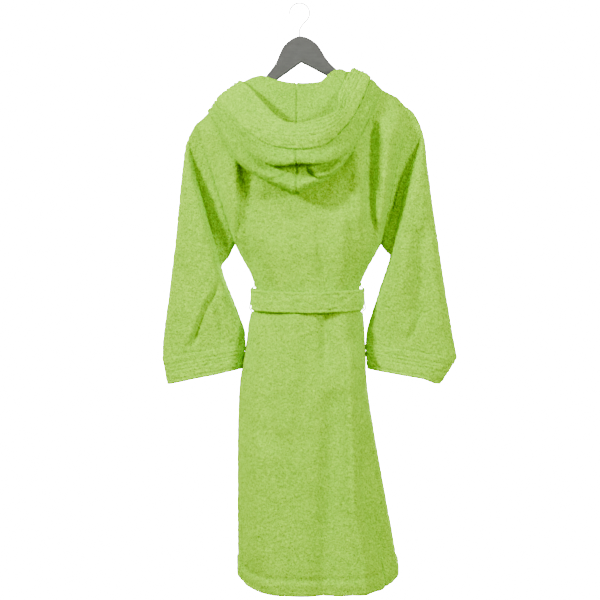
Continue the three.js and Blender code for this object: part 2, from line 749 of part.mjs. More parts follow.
add('neck_tape', sheet(neckTape, 14, 1, {
  outward: backward, thickness: tapeThickness, lift: () => insideNeck(tapeThickness),
}), cotton);

const labelTopZ = napeZ - tapeDrop - tapeWidth - 2;

function labelPoint(u, v) {
  const x = (u - 0.5) * labelSize.width;
  const z = labelTopZ - v * labelSize.height;
  return new THREE.Vector3(x, -wallY('back', x, z), z);
}

add('care_label', sheet(labelPoint, 3, 3, {
  outward: backward, thickness: labelSize.thickness, lift: () => insideNeck(labelSize.thickness),
}), labelCloth);

function hangingLoop() {
  const tapeY = -wallY('back', 0, napeZ - tapeWidth) + cloth / 2 + insideGap + tapeThickness;
  const y = tapeY + 2 * rest + loopCord / 2;
  const top = napeZ - loopDrop;
  const route = new THREE.CatmullRomCurve3([
    new THREE.Vector3(-loopHalf, y, top),
    new THREE.Vector3(-loopHalf, y + 1, top - 0.4375 * loopHang),
    new THREE.Vector3(-0.5 * loopHalf, y + 2, top - loopHang),
    new THREE.Vector3(0.5 * loopHalf, y + 2, top - loopHang),
    new THREE.Vector3(loopHalf, y + 1, top - 0.4375 * loopHang),
    new THREE.Vector3(loopHalf, y, top),
  ]);
  const section = new THREE.Shape().absellipse(0, 0, loopCord / 2, loopCord / 2, 0, 2 * Math.PI);
  return new THREE.ExtrudeGeometry(section, {
    steps: 18, bevelEnabled: false, extrudePath: route, curveSegments: 4,
  });
}

add('hanging_loop', hangingLoop(), cotton);

export default gown;
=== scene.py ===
"""Hooded terry bath gown on a wooden hanger. Lengths are in millimetres until a mesh is made."""
import math

import bmesh
import bpy
import numpy as np
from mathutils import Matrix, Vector


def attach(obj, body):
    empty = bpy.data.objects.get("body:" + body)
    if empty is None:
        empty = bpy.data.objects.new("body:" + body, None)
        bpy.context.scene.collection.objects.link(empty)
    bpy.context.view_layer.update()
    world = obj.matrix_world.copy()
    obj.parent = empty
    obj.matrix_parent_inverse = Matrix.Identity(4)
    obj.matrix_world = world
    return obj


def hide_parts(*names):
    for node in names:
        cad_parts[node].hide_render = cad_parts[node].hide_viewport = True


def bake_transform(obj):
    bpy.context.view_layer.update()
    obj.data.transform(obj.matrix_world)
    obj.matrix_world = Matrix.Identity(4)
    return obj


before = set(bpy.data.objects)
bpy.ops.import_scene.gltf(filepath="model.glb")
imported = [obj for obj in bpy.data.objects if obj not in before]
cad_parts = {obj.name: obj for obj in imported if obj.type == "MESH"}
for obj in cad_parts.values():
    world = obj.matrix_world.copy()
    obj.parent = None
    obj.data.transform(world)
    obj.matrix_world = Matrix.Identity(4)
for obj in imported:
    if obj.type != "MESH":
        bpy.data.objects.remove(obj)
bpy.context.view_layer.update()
MM = 0.001

# ---------------------------------------------------------------- sizes shared with the CAD

CROWN_Z = -78.5
NAPE_Z = -206.5
BELT_Z = -708.5
UNDERARM_Z = -574.5
HIP_Z = -941.5
HEM_SIDE_Z = -1348.5
HEM_RISE = 48.0
HEM_MIDDLE, HEM_HALF = 44.0, 190.0
TILT = math.radians(4)
CLOTH = 5.0
HALF_GAP = 0.5
ARM_ROOT_X, ARM_ROOT_Z, ARM_SLOPE, SEAM_ABOVE_ARM = 87.0, -90.0, 0.6, 7.1
UNDERARM_MIDDLE, UNDERARM_HALF = 20.0, 174.0
TIP_FALL = {-1: 5.0, 1: 14.0}
NECK_HALF, SHOULDER_HALF, HANGER_HALF, GOWN_SHIFT = 104.0, 253.0, 215.0, -7.0
WAIST_LEAN, WAIST_HALF = 19.0, 124.0
DRAWN_IN = 34.5
FRONT_OVERLAP, OVERLAP_STEP, OVERLAP_RAMP, BAND_WIDTH = 45.0, 9.0, 40.0, 48.0
CUFF_HEIGHT = 60.0
BELT_WIDTH, BELT_THICK, BELT_STAND, BELT_SIDE_GAP = 45.0, 8.0, 8.5, 4.0
BELT_FRONT, BELT_BACK = 60.0 + OVERLAP_STEP + BELT_STAND, 66.0 + BELT_STAND
KNOT_HALF, KNOT_GAP, KNOT_WRAP = (42.0, 18.0, 25.0), 0.6, 2.0
TAIL_LENGTH, TAIL_DROP, TAIL_APART = 438.0, 27.0, 27.0
CARRIER_HEIGHT, CARRIER_WIDTH, CARRIER_FOOT, CARRIER_STAND = 76.0, 12.0, 3.4, 11.6
POCKET_DROP, POCKET_HEIGHT, POCKET_INSET, POCKET_WIDTH = 640.0, 180.0, 14.0, 66.0
HOOK_RADIUS, HOOK_CENTRE_Z, WIRE_RADIUS, SHANK_FOOT_Z = 24.0, -22.4, 1.6, -131.0
SIDES = {-1: "left", 1: "right"}

# ---------------------------------------------------------------- small maths


def ease(x, a, b):
    t = np.clip((x - a) / (b - a), 0, 1)
    return t * t * (3 - 2 * t)


def mix(a, b, t):
    return a + (b - a) * t


def spline(at, values, x):
    """Smooth curve through values (one row for each place in `at`), at places x."""
    at, values, x = np.asarray(at, float), np.asarray(values, float), np.asarray(x, float)
    last = len(at) - 1
    before, after = np.maximum(np.arange(last + 1) - 1, 0), np.minimum(np.arange(last + 1) + 1, last)
    wide = (at[after] - at[before]).reshape(-1, *[1] * (values.ndim - 1))
    slope = (values[after] - values[before]) / wide
    x = np.clip(x, at[0], at[-1])
    i = np.clip(np.searchsorted(at, x, side="right") - 1, 0, last - 1)
    h = at[i + 1] - at[i]
    t = (x - at[i]) / h
    shape = x.shape + (1,) * (values.ndim - 1)
    h, t = h.reshape(shape), t.reshape(shape)
    s = 1 - t
    return (values[i] * s * s * (1 + 2 * t) + values[i + 1] * t * t * (3 - 2 * t)
            + slope[i] * h * t * s * s - slope[i + 1] * h * t * t * s)


def through(*points):
    """Function through (at, value) pairs, in rising order of `at`."""
    at, values = zip(*points)
    return lambda x: spline(at, values, x)


def noise(p, size, seed=0):
    """Smooth noise from -1 to 1 at points p, with bumps about `size` mm across."""
    q = p / size + seed * 17.31
    cell = np.floor(q).astype(np.int64)
    f = q - cell
    f = f * f * (3 - 2 * f)
    total = np.zeros(p.shape[:-1])
    for corner in range(8):
        bit = np.array([corner & 1, corner >> 1 & 1, corner >> 2 & 1])
        c = cell + bit
        h = (c[..., 0] * 73856093) ^ (c[..., 1] * 19349663) ^ (c[..., 2] * 83492791)
        h = (h ^ (h >> 13)) * 1274126177
        value = ((h ^ (h >> 16)) & 0xFFFF) / 32767.5 - 1
        total += value * np.prod(np.where(bit, f, 1 - f), axis=-1)
    return total


def ridge(distance, width, height):
    return height * np.exp(-((distance / width) ** 2))


def groove(distance, width, depth):
    return ridge(distance, width, -depth)


def stitch_rows(across, places, width, depth):
    return sum(groove(across - at, width, depth) for at in places)


def roll(distance, radius):
    """Quarter-round step: 0 below the edge of a fold, 1 on top of it."""
    t = np.clip(distance / radius, 0, 1)
    return np.sqrt(1 - (1 - t) ** 2)


def grid_of(nu, nv):
    return np.meshgrid(np.linspace(0, 1, nu + 1), np.linspace(0, 1, nv + 1), indexing="ij")


def stack(x, y, z):
    x, y, z = np.broadcast_arrays(x, y, z)
    return np.stack([x, y, z], axis=-1)


def wrapped_quads(rows, columns):
    """Faces of a grid of points whose rows close on themselves."""
    index = np.arange(rows * columns).reshape(rows, columns)
    after = np.roll(index, -1, 1)
    return np.stack([index[:-1], index[1:], after[1:], after[:-1]], -1).reshape(-1, 4)


# ---------------------------------------------------------------- materials


def node(tree, kind, **values):
    n = tree.nodes.new(kind)
    for key, value in values.items():
        if key in n.inputs:
            n.inputs[key].default_value = value
        else:
            setattr(n, key, value)
    return n


def new_material(name):
    m = bpy.data.materials.new(name)
    m.use_nodes = True
    tree = m.node_tree
    shader = tree.nodes["Principled BSDF"]
    place = node(tree, "ShaderNodeTexCoord").outputs["Object"]
    return m, tree, shader, place


def ramp(tree, factor, stops):
    n = node(tree, "ShaderNodeValToRGB")
    while len(n.color_ramp.elements) < len(stops):
        n.color_ramp.elements.new(0.5)
    for element, (at, colour) in zip(n.color_ramp.elements, stops):
        element.position = at
        element.color = (*colour, 1)
    tree.links.new(factor, n.inputs["Fac"])
    return n.outputs["Color"]


def blend_colours(tree, factor, a, b):
    n = node(tree, "ShaderNodeMix", data_type="RGBA")
    tree.links.new(factor, n.inputs[0])
    tree.links.new(a, n.inputs[6])
    tree.links.new(b, n.inputs[7])
    return n.outputs[2]


def spread(tree, value, low, high, full=1.0):
    """A value that runs from 0 to `full`, spread over low to high."""
    n = node(tree, "ShaderNodeMapRange", **{"From Max": full, "To Min": low, "To Max": high})
    tree.links.new(value, n.inputs["Value"])
    return n.outputs["Result"]


def bump(tree, height, distance, strength, under=None):
    n = node(tree, "ShaderNodeBump", Strength=strength, Distance=distance)
    tree.links.new(height, n.inputs["Height"])
    if under is not None:
        tree.links.new(under, n.inputs["Normal"])
    return n.outputs["Normal"]


def terry(name, deep, middle, light, pile=1.0):
    """Looped cotton pile: speckled loops, brushed patches and a soft sheen."""
    m, tree, shader, place = new_material(name)
    link = tree.links.new
    loops = node(tree, "ShaderNodeTexNoise", Scale=230.0, Detail=4.0, Roughness=0.8, Distortion=0.8)
    tufts = node(tree, "ShaderNodeTexVoronoi", Scale=190.0, Randomness=1.0)
    patches = node(tree, "ShaderNodeTexNoise", Scale=16.0, Detail=5.0, Roughness=0.6, Distortion=0.8)
    for texture in (loops, tufts, patches):
        link(place, texture.inputs["Vector"])
    speckle = ramp(tree, loops.outputs["Fac"], [(0.33, deep), (0.50, middle), (0.63, light)])
    brushed = ramp(tree, patches.outputs["Fac"], [(0.36, middle), (0.62, light)])
    near = spread(tree, tufts.outputs["Distance"], 0.45, 0.80, full=0.0042)
    link(blend_colours(tree, near, brushed, speckle), shader.inputs["Base Color"])
    coarse = bump(tree, tufts.outputs["Distance"], 0.0040 * pile, 0.7)
    link(bump(tree, loops.outputs["Fac"], 0.0060 * pile, 1.0, coarse), shader.inputs["Normal"])
    link(spread(tree, loops.outputs["Fac"], 0.82, 1.0), shader.inputs["Roughness"])
    shader.inputs["Specular IOR Level"].default_value = 0.04
    shader.inputs["Sheen Weight"].default_value = 0.10
    shader.inputs["Sheen Roughness"].default_value = 0.6
    shader.inputs["Sheen Tint"].default_value = (0.45, 1.0, 0.05, 1)
    return m


def woven(name, low, high, scale):
    """Plain weave of two crossed sets of threads, a little uneven in colour."""
    m, tree, shader, place = new_material(name)
    link = tree.links.new
    warp = node(tree, "ShaderNodeTexWave", Scale=scale, Distortion=0.6, Detail=2.0)
    weft = node(tree, "ShaderNodeTexWave", Scale=scale, Distortion=0.6, Detail=2.0, bands_direction="Z")
    stain = node(tree, "ShaderNodeTexNoise", Scale=120.0, Detail=3.0)
    for texture in (warp, weft, stain):
        link(place, texture.inputs["Vector"])
    link(ramp(tree, stain.outputs["Fac"], [(0.3, low), (0.7, high)]), shader.inputs["Base Color"])
    first = bump(tree, warp.outputs["Fac"], 0.0004, 0.5)
    link(bump(tree, weft.outputs["Fac"], 0.0004, 0.5, first), shader.inputs["Normal"])
    shader.inputs["Roughness"].default_value = 0.85
    return m


def painted_wood(name):
    """Matt paint with the grain showing through and faint scuffs."""
    m, tree, shader, place = new_material(name)
    link = tree.links.new
    grain_place = node(tree, "ShaderNodeMapping")
    grain_place.inputs["Scale"].default_value = (3.0, 40.0, 34.0)
    link(place, grain_place.inputs["Vector"])
    grain = node(tree, "ShaderNodeTexNoise", Scale=9.0, Detail=7.0, Roughness=0.62, Distortion=0.3)
    link(grain_place.outputs["Vector"], grain.inputs["Vector"])
    scuff = node(tree, "ShaderNodeTexNoise", Scale=60.0, Detail=5.0)
    link(place, scuff.inputs["Vector"])
    paint = ramp(tree, grain.outputs["Fac"], [
        (0.32, (0.040, 0.041, 0.036)), (0.55, (0.051, 0.052, 0.046)), (0.72, (0.062, 0.063, 0.056))])
    worn = ramp(tree, scuff.outputs["Fac"], [
        (0.30, (0.044, 0.045, 0.040)), (0.75, (0.058, 0.059, 0.053))])
    share = spread(tree, scuff.outputs["Fac"], 0.2, 0.6)
    link(blend_colours(tree, share, paint, worn), shader.inputs["Base Color"])
    link(bump(tree, grain.outputs["Fac"], 0.0005, 0.35), shader.inputs["Normal"])
    link(spread(tree, scuff.outputs["Fac"], 0.42, 0.66), shader.inputs["Roughness"])
    return m


def wire_steel(name):
    """Drawn wire with a dull plating."""
    m, tree, shader, place = new_material(name)
    link = tree.links.new
    drawn = node(tree, "ShaderNodeTexNoise", Scale=420.0, Detail=5.0, Roughness=0.7)
    link(place, drawn.inputs["Vector"])
    link(ramp(tree, drawn.outputs["Fac"], [(0.3, (0.13, 0.13, 0.12)), (0.7, (0.27, 0.27, 0.26))]),
         shader.inputs["Base Color"])
    shader.inputs["Metallic"].default_value = 1.0
    link(spread(tree, drawn.outputs["Fac"], 0.22, 0.42), shader.inputs["Roughness"])
    link(bump(tree, drawn.outputs["Fac"], 0.0002, 0.2), shader.inputs["Normal"])
    return m


TERRY = terry("lime_terry", (0.095, 0.330, 0.0), (0.305, 0.730, 0.0), (0.480, 0.950, 0.006))
TRIM = terry("lime_terry_doubled", (0.090, 0.320, 0.0), (0.295, 0.710, 0.0), (0.480, 0.940, 0.006), 0.8)
# The same terry made darker for the hood halves, inside and out: painted shade for the hood's inside.
HOOD_TERRY_PAINTED_SHADE = terry("lime_terry_painted_shade", (0.085, 0.310, 0.0), (0.270, 0.690, 0.0), (0.430, 0.910, 0.004))
TAPE = woven("cotton_tape", (0.23, 0.41, 0.05), (0.33, 0.52, 0.09), 520.0)
LABEL = woven("label_weave", (0.78, 0.78, 0.74), (0.90, 0.90, 0.87), 700.0)
WOOD = painted_wood("painted_wood")
STEEL = wire_steel("wire_steel")

# ---------------------------------------------------------------- meshes


def unit(v):
    return v / np.maximum(np.linalg.norm(v, axis=-1, keepdims=True), 1e-9)


def to_object(name, points, faces, material, body=None, replaces=(), slot=None):
    """A mesh object from points in millimetres, hung under its body's empty when it has one, which hides the
    CAD parts it replaces.
    """
    mesh = bpy.data.meshes.new(name)
    mesh.from_pydata((points * MM).tolist(), [], faces.tolist(), shade_flat=False)
    work = bmesh.new()
    work.from_mesh(mesh)
    bmesh.ops.remove_doubles(work, verts=work.verts, dist=1e-6)
    bmesh.ops.recalc_face_normals(work, faces=work.faces)
    work.to_mesh(mesh)
    work.free()
    mesh.materials.append(material)
    obj = bpy.data.objects.new(name, mesh)
    bpy.context.scene.collection.objects.link(obj)
    if body:
        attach(obj, body)
    if replaces:
        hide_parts(*replaces)
    return obj


def sheet_mesh(grid, facing, thick, closed=False, relief=0.0, pile=0.6, seed=1, skin=0.0):
    """Points and faces of a thick sheet round a grid of points, with rounded edges.
    relief lifts the face that looks along `facing`, skin the other one, and pile roughens both."""
    if closed:
        du = np.roll(grid, -1, 0) - np.roll(grid, 1, 0)
    else:
        du = np.gradient(grid, axis=0)
    normal = unit(np.cross(du, np.gradient(grid, axis=1)))
    ahead = np.broadcast_to(facing(grid), grid.shape)
    if np.sum(normal * ahead) < 0:
        normal = -normal
    fuzz = pile * (1.0 * noise(grid, 9.0, seed) + 2.0 * noise(grid, 4.6, seed + 5))
    outer = grid + normal * (thick / 2 + relief + fuzz)[..., None]
    inner = grid - normal * (thick / 2 + skin - 0.5 * fuzz)[..., None]
    nu, nv = grid.shape[:2]
    index = np.arange(nu * nv).reshape(nu, nv)
    across = np.roll(index, -1, 0) if closed else index
    a, b = (index, across) if closed else (index[:-1], index[1:])
    quads = np.stack([a[:, :-1], b[:, :-1], b[:, 1:], a[:, 1:]], -1).reshape(-1, 4)
    under = nu * nv
    faces = [quads, quads[:, ::-1] + under]
    points = [outer.reshape(-1, 3), inner.reshape(-1, 3)]
    if closed:
        loops = [index[:, 0], index[:, -1]]
    else:
        loops = [np.concatenate([index[:-1, 0], index[-1, :-1], index[:0:-1, -1], index[0, :0:-1]])]
    flat, middle = grid.reshape(-1, 3), (points[0] + points[1]) / 2
    reach = np.linalg.norm(points[0] - points[1], axis=1) / 2
    start = 2 * under
    for loop in loops:
        i, j = loop // nv, loop % nv
        inside_i = i if closed else np.clip(i, 1, nu - 2)
        inside = inside_i * nv + np.clip(j, 1, nv - 2)
        edge = middle[loop] + unit(flat[loop] - flat[inside]) * (0.85 * reach[loop])[:, None]
        points.append(edge)
        k = np.arange(len(loop))
        nxt = np.roll(k, -1)
        faces.append(np.stack([loop[k], loop[nxt], start + nxt, start + k], -1))
        faces.append(np.stack([start + k, start + nxt, loop[nxt] + under, loop[k] + under], -1))
        start += len(loop)
    return np.concatenate(points), np.concatenate(faces)


def cloth(name, grid, facing, material, body, replaces, slot, thick=CLOTH, **options):
    points, faces = sheet_mesh(grid, facing, thick, **options)
    return to_object(name, points, faces, material, body, replaces, slot)


# Which way a sheet's outer face looks: one way all over, away from an upright axis at x, or
# away from a point.


def toward(x, y, z):
    return lambda grid: np.array([x, y, z], float)


def away_from(x):
    return lambda grid: grid * [1, 1, 0] - [x, 0, 0]


def away_from_point(x, y, z):
    return lambda grid: grid - [x, y, z]


# ---------------------------------------------------------------- the gown's shape


def arm_top(x):
    """Height of the hanger's straight arms above its own foot, before it tilts."""
    return ARM_ROOT_Z - ARM_SLOPE * (np.abs(x) - ARM_ROOT_X)


def tilted(x, z):
    """A point of the hanger's own plane, as (x, z) on the hanger that hangs askew."""
    c, s = math.cos(TILT), math.sin(TILT)
    return x * c - z * s, CROWN_Z + z * c + x * s


def shoulder_seam(side, k):
    """(x, z) of the shoulder seam, from k = 0 at the neck to k = 1 at the tip."""
    x = side * mix(NECK_HALF, SHOULDER_HALF, k) + GOWN_SHIFT
    fall = TIP_FALL[side] * ease(np.abs(x), HANGER_HALF, SHOULDER_HALF)
    return tilted(x, arm_top(x) + SEAM_ABOVE_ARM - fall)


TIP = {side: np.array(shoulder_seam(side, 1.0)) for side in SIDES}
SEAM = {
    side: through(
        (HEM_SIDE_Z, HEM_MIDDLE + side * HEM_HALF), (HIP_Z, 10 + side * 153), (-805, 15 + side * 139),
        (-752, 17 + side * 134), (BELT_Z - 22, WAIST_LEAN + side * WAIST_HALF),
        (BELT_Z + DRAWN_IN, WAIST_LEAN + side * WAIST_HALF),
        (UNDERARM_Z, UNDERARM_MIDDLE + side * UNDERARM_HALF),
    )
    for side in SIDES
}
PIT = {side: np.array([UNDERARM_MIDDLE + side * UNDERARM_HALF, UNDERARM_Z]) for side in SIDES}


def shoulder_line(x):
    """Height of the straight line through each shoulder seam."""
    side_z = []
    for side in SIDES:
        nx, nz = shoulder_seam(side, 0.0)
        fx, fz = shoulder_seam(side, 0.7)
        side_z.append(nz + (fz - nz) * (x - nx) / (fx - nx))
    return np.where(x < 0, side_z[0], side_z[1])


def arm_share(side, z):
    """How far down the armhole a height is, from 0 at the shoulder tip to 1 at the underarm."""
    return np.clip((TIP[side][1] - z) / (TIP[side][1] - UNDERARM_Z), 0, 1)


def edge_x(side, z):
    """Where the body ends sideways: at the armhole, and below it at the side seam."""
    arm = mix(TIP[side][0], PIT[side][0], arm_share(side, z))
    return np.where(z <= UNDERARM_Z, SEAM[side](z), arm)


ARMHOLE = {"back": 17.0, "front": 44.0}


def armhole_y(face, side, z):
    t = arm_share(side, z)
    return ARMHOLE[face] * np.sqrt(np.clip(1 - (2 * t - 1) ** 2, 0, 1))


DEPTH = {
    "back": through((HEM_SIDE_Z, 106), (HIP_Z, 90), (BELT_Z - DRAWN_IN, 65), (BELT_Z + DRAWN_IN, 65),
                    (UNDERARM_Z, 77), (NAPE_Z, 50)),
    "front": through((HEM_SIDE_Z, 86), (HIP_Z, 75), (BELT_Z - DRAWN_IN, 59), (BELT_Z + DRAWN_IN, 59),
                     (UNDERARM_Z, 75), (NAPE_Z, 48)),
}
BOXY = {"back": 2.5, "front": 2.2}
FULL_DEPTH_DROP = 90.0


def wall_y(face, x, z):
    """How far the body's cloth stands from the middle plane, without its folds."""
    left, right = edge_x(-1, z), edge_x(1, z)
    q = np.clip((2 * x - left - right) / (right - left), -1, 1)
    edge = np.where(q < 0, armhole_y(face, -1, z), armhole_y(face, 1, z))
    below = np.clip((shoulder_line(x) - z) / FULL_DEPTH_DROP, 0, 1)
    full = DEPTH[face](z) * np.sqrt(1 - (1 - below) ** 2)
    return HALF_GAP + edge + (full - edge) * np.sqrt(1 - np.abs(q) ** BOXY[face])


def hem_z(x):
    return HEM_SIDE_Z - HEM_RISE * np.sqrt(np.clip(1 - ((x - HEM_MIDDLE) / HEM_HALF) ** 2, 0, 1))


def along(x, z, line, top, low, fade=60.0):
    """Distance to the right of a line that runs down the cloth, and how much of it is there."""
    middle = spline(*zip(*line[::-1]), z)
    return x - middle, ease(z, low - fade, low) * (1 - ease(z, top, top + fade))


# Each soft fold of the back: its line as (z, x) from the top down, its height (a valley is
# negative), its half width, and the heights between which it is full.
BACK_FOLDS = [
    ([(-300, -214), (-395, -165), (-529, -162), (-640, -130)], 4, 24, -330, -600),
    ([(-360, -104), (-470, -118), (-560, -126), (-650, -102)], -9, 17, -400, -600),
    ([(-300, 132), (-420, 137), (-560, 140)], 4, 15, -340, -520),
    ([(-300, 170), (-420, 170), (-560, 174)], -11, 15, -320, -540),
    ([(-300, 202), (-420, 200), (-540, 190)], 8, 18, -320, -500),
    ([(-520, 44), (-600, 52), (-690, 60)], -5, 17, -570, -690),
    ([(-500, 96), (-600, 99), (-690, 98)], 6, 18, -540, -690),
    ([(-560, -60), (-690, -48)], 4, 30, -600, -690),
    ([(-740, 56), (-900, 62)], -8, 16, -745, -840),
    ([(-740, 110), (-900, 118), (-1000, 122)], 5, 20, -745, -950),
    ([(-740, -14), (-900, -26), (-1100, -40)], 7, 26, -745, -1000),
    ([(-780, 122), (-960, 122), (-1100, 126), (-1208, 127), (-1330, 150)], 11, 17, -860, -1420),
    ([(-860, 82), (-1040, 78), (-1200, 70), (-1400, 58)], -11, 30, -960, -1420),
    ([(-1040, -62), (-1200, -70), (-1400, -70)], 9, 34, -1080, -1420),
    ([(-780, -92), (-1000, -104), (-1200, -106)], 8, 18, -800, -1300),
    ([(-1200, 208), (-1330, 214)], 9, 18, -1250, -1420),
]
# Folds whose left side lies over their right side: line, height, radius of the edge, how far to
# the left the cloth stands up, and the heights between which it is full.
STEP_FOLDS = [
    ([(-380, -143), (-470, -143), (-560, -148), (-650, -124)], 11, 13, 60, -400, -600),
    ([(-310, 154), (-420, 153), (-540, 156)], 9, 14, 60, -330, -500),
    ([(-310, 238), (-420, 222), (-560, 198)], 13, 9, 50, -320, -545),
]
# Two long folds beside the skirt's seams, where the cloth turns back under itself.
SIDE_FOLD = [(-960, 139), (-1100, 141), (-1208, 149), (-1275, 170), (-1323, 188), (-1400, 200)]
SIDE_FOLD_DEPTH = 25
EDGE_FOLD = [(-1170, -139), (-1280, -134), (-1370, -128)]
EDGE_FOLD_DEPTH = 13


def ridges(x, z, folds, gain=1.0, fade=60.0):
    total = np.zeros(np.broadcast(x, z).shape)
    for line, height, half, top, low in folds:
        d, there = along(x, z, line, top, low, fade)
        total += ridge(d, half, gain * height) * there
    return total


def settled(folds, x, z, press):
    """Folds that fade out at the side seams and the shoulder, and where the belt presses."""
    inside = np.minimum(x - edge_x(-1, z), edge_x(1, z) - x)
    drawn = 1 - ridge(z - BELT_Z, 32.0, press)
    return folds * ease(inside, 0, 16) * drawn * ease(shoulder_line(x) - z, 0, 70)


def back_folds(x, z):
    total = ridges(x, z, BACK_FOLDS, gain=1.4)
    for line, height, radius, reach, top, low in STEP_FOLDS:
        d, there = along(x, z, line, top, low)
        total += height * there * roll(-d, radius) * (1 - ease(-d, 0.3 * reach, reach))
    d, there = along(x, z, SIDE_FOLD, -1120, -1500, 120.0)
    total -= SIDE_FOLD_DEPTH * there * (1 - roll(-d, 8.0)) * (1 - 0.8 * ease(d, 14, 70))
    d, there = along(x, z, EDGE_FOLD, -1230, -1500, 50.0)
    total -= EDGE_FOLD_DEPTH * there * (1 - roll(d, 5.0))
    here = stack(x, 0 * x, z)
    total += 3.6 * noise(here * [1.5, 1, 0.6], 150.0, 3) + 2.6 * noise(here * [1.7, 1, 0.5], 60.0, 4)
    total += 0.8 * noise(here, 24.0, 6)
    return settled(total, x, z, 0.85)


def back_y(x, z):
    return -wall_y("back", x, z) - back_folds(x, z)


def gathers(x, z):
    """Small pleats where the belt draws the cloth in."""
    here = stack(x, 0 * x, 0.12 * z)
    return 2.4 * noise(here, 17.0, 9) * ridge(np.abs(z - BELT_Z) - 30, 46.0, 1.0)


def hem_relief(z, low):
    """The turned hem, thicker than the cloth, with a stitch row above and a groove below."""
    up = z - low
    return groove(up - 34, 5.0, 4.2) + 2.2 * (1 - ease(up, 28, 38)) + groove(up - 8, 4.0, 1.6)


def close_seam(y, k, v, seam_y):
    """What to take off y so that back and front meet along the outer part of the shoulder seam."""
    return (y[:, :1] - seam_y) * ease(k, 0.45, 0.7) * (1 - ease(v, 0, 0.05))


def row_share(v):
    """How far down each row lies: the rows are closer together at the shoulder."""
    return 0.35 * v ** 2 + 0.65 * v


def back_grid(nu, nv):
    u, v = grid_of(nu, nv)
    k = 2 * u - 1
    share = 0.36
    t = np.clip((k / share + 1) / 2, 0, 1)
    (lx, lz), (rx, rz) = shoulder_seam(-1, 0.0), shoulder_seam(1, 0.0)
    neck_x = mix(lx, rx, t)
    neck_z = mix(mix(lz, rz, t), NAPE_Z + 1, ease(1 - np.abs(2 * t - 1), 0.1, 0.7))
    out = np.clip((np.abs(k) - share) / (1 - share), 0, 1)
    sx, sz = [np.where(k < 0, a, b) for a, b in zip(shoulder_seam(-1, out), shoulder_seam(1, out))]
    on_neck = np.abs(k) < share
    top_x, top_z = np.where(on_neck, neck_x, sx), np.where(on_neck, neck_z, sz)
    low = hem_z(mix(SEAM[-1](HEM_SIDE_Z), SEAM[1](HEM_SIDE_Z), u))
    z = mix(top_z, low, row_share(v))
    spread = 0.5 - 0.5 * np.cos(np.pi * u)
    wide = mix(edge_x(-1, z), edge_x(1, z), mix(u, spread, 0.85 * ease(v, 0, 0.5)))
    x = mix(top_x, wide, ease(v, 0, 0.12))
    y = back_y(x, z) - gathers(x, z)
    y = y - close_seam(y, out, v, -HALF_GAP)
    return stack(x, np.minimum(y, -HALF_GAP), z), low


grid, low = back_grid(150, 300)
BACK = cloth("back_panel_cloth", grid, toward(0, -1, 0), TERRY, "gown", ["back_panel"], "terry",
             relief=hem_relief(grid[..., 2], low))

# ---------------------------------------------------------------- the front


def front_edge_x(side, z):
    """The front's free edge, from the neck to where the fronts cross at the belt and below."""
    nx, nz = shoulder_seam(side, 0.0)
    t = np.clip((nz - z) / (nz - BELT_Z), 0, 1)
    return mix(nx, WAIST_LEAN - side * FRONT_OVERLAP, t ** 0.9)


FRONT_FOLDS = [
    ([(-330, -170), (-560, -110)], 7, 24, -380, -620),
    ([(-330, 180), (-560, 140)], 7, 24, -380, -620),
    ([(-760, -92), (-1400, -120)], 8, 24, -800, -1420),
    ([(-760, -40), (-1400, -48)], -7, 26, -800, -1420),
    ([(-760, 118), (-1400, 170)], 8, 26, -800, -1420),
    ([(-760, 60), (-1400, 84)], -6, 24, -800, -1420),
]


def front_y(side, x, z):
    over = ease(x, front_edge_x(1, z) - OVERLAP_RAMP, front_edge_x(1, z)) if side < 0 else 0.0
    folds = ridges(x, z, FRONT_FOLDS)
    here = stack(x, 0 * x + 200.0, z)
    folds += 1.6 * noise(here, 140.0, 13) + 1.0 * noise(here, 50.0, 14)
    return wall_y("front", x, z) + OVERLAP_STEP * over + settled(folds, x, z, 0.9)


BAND_SHARE = BAND_WIDTH / (SHOULDER_HALF - NECK_HALF)


def front_grid(side, start, end, nu, nv):
    """start and end count across: 0 at the side seam, 1 at the band's seam, 2 at the front edge."""
    u, v = grid_of(nu, nv)
    across = mix(start, end, u)
    on_band = np.maximum(across - 1, 0)
    k = np.where(across <= 1, mix(1, BAND_SHARE, np.minimum(across, 1)), BAND_SHARE * (1 - on_band))
    top_x, top_z = shoulder_seam(side, k)

    def place(z):
        edge = front_edge_x(side, z)
        seam = edge + side * BAND_WIDTH
        turn = 1 - np.cos(np.pi * np.minimum(across, 1) / 2)
        body = mix(edge_x(side, z), seam, mix(np.minimum(across, 1), turn, 0.7))
        return np.where(across > 1, mix(seam, edge, on_band), body)

    low = hem_z(place(np.full_like(u, HEM_SIDE_Z)))
    z = mix(top_z, low, row_share(v))
    x = mix(top_x, place(z), ease(v, 0, 0.2))
    y = front_y(side, x, z)
    y = y - close_seam(y, k, v, HALF_GAP)
    return stack(x, np.maximum(y, HALF_GAP), z), low, across


for side, word in SIDES.items():
    grid, low, _ = front_grid(side, 0.0, 1.0, 60, 260)
    cloth(f"{word}_front_cloth", grid, toward(0, 1, 0), TERRY, "gown",
                         [f"{word}_front_panel"], "terry", relief=hem_relief(grid[..., 2], low), seed=2)
    grid, _, across = front_grid(side, 1.012, 2.0, 18, 260)
    rows = stitch_rows(across, (1.08, 1.3, 1.52, 1.74, 1.93), 0.035, 1.0)
    cloth(f"{word}_front_facing", grid, toward(0, 1, 0), TRIM, "gown",
                                 [f"{word}_front_band"], "terry_trim", relief=rows + 0.8, seed=3)

# ---------------------------------------------------------------- sleeves

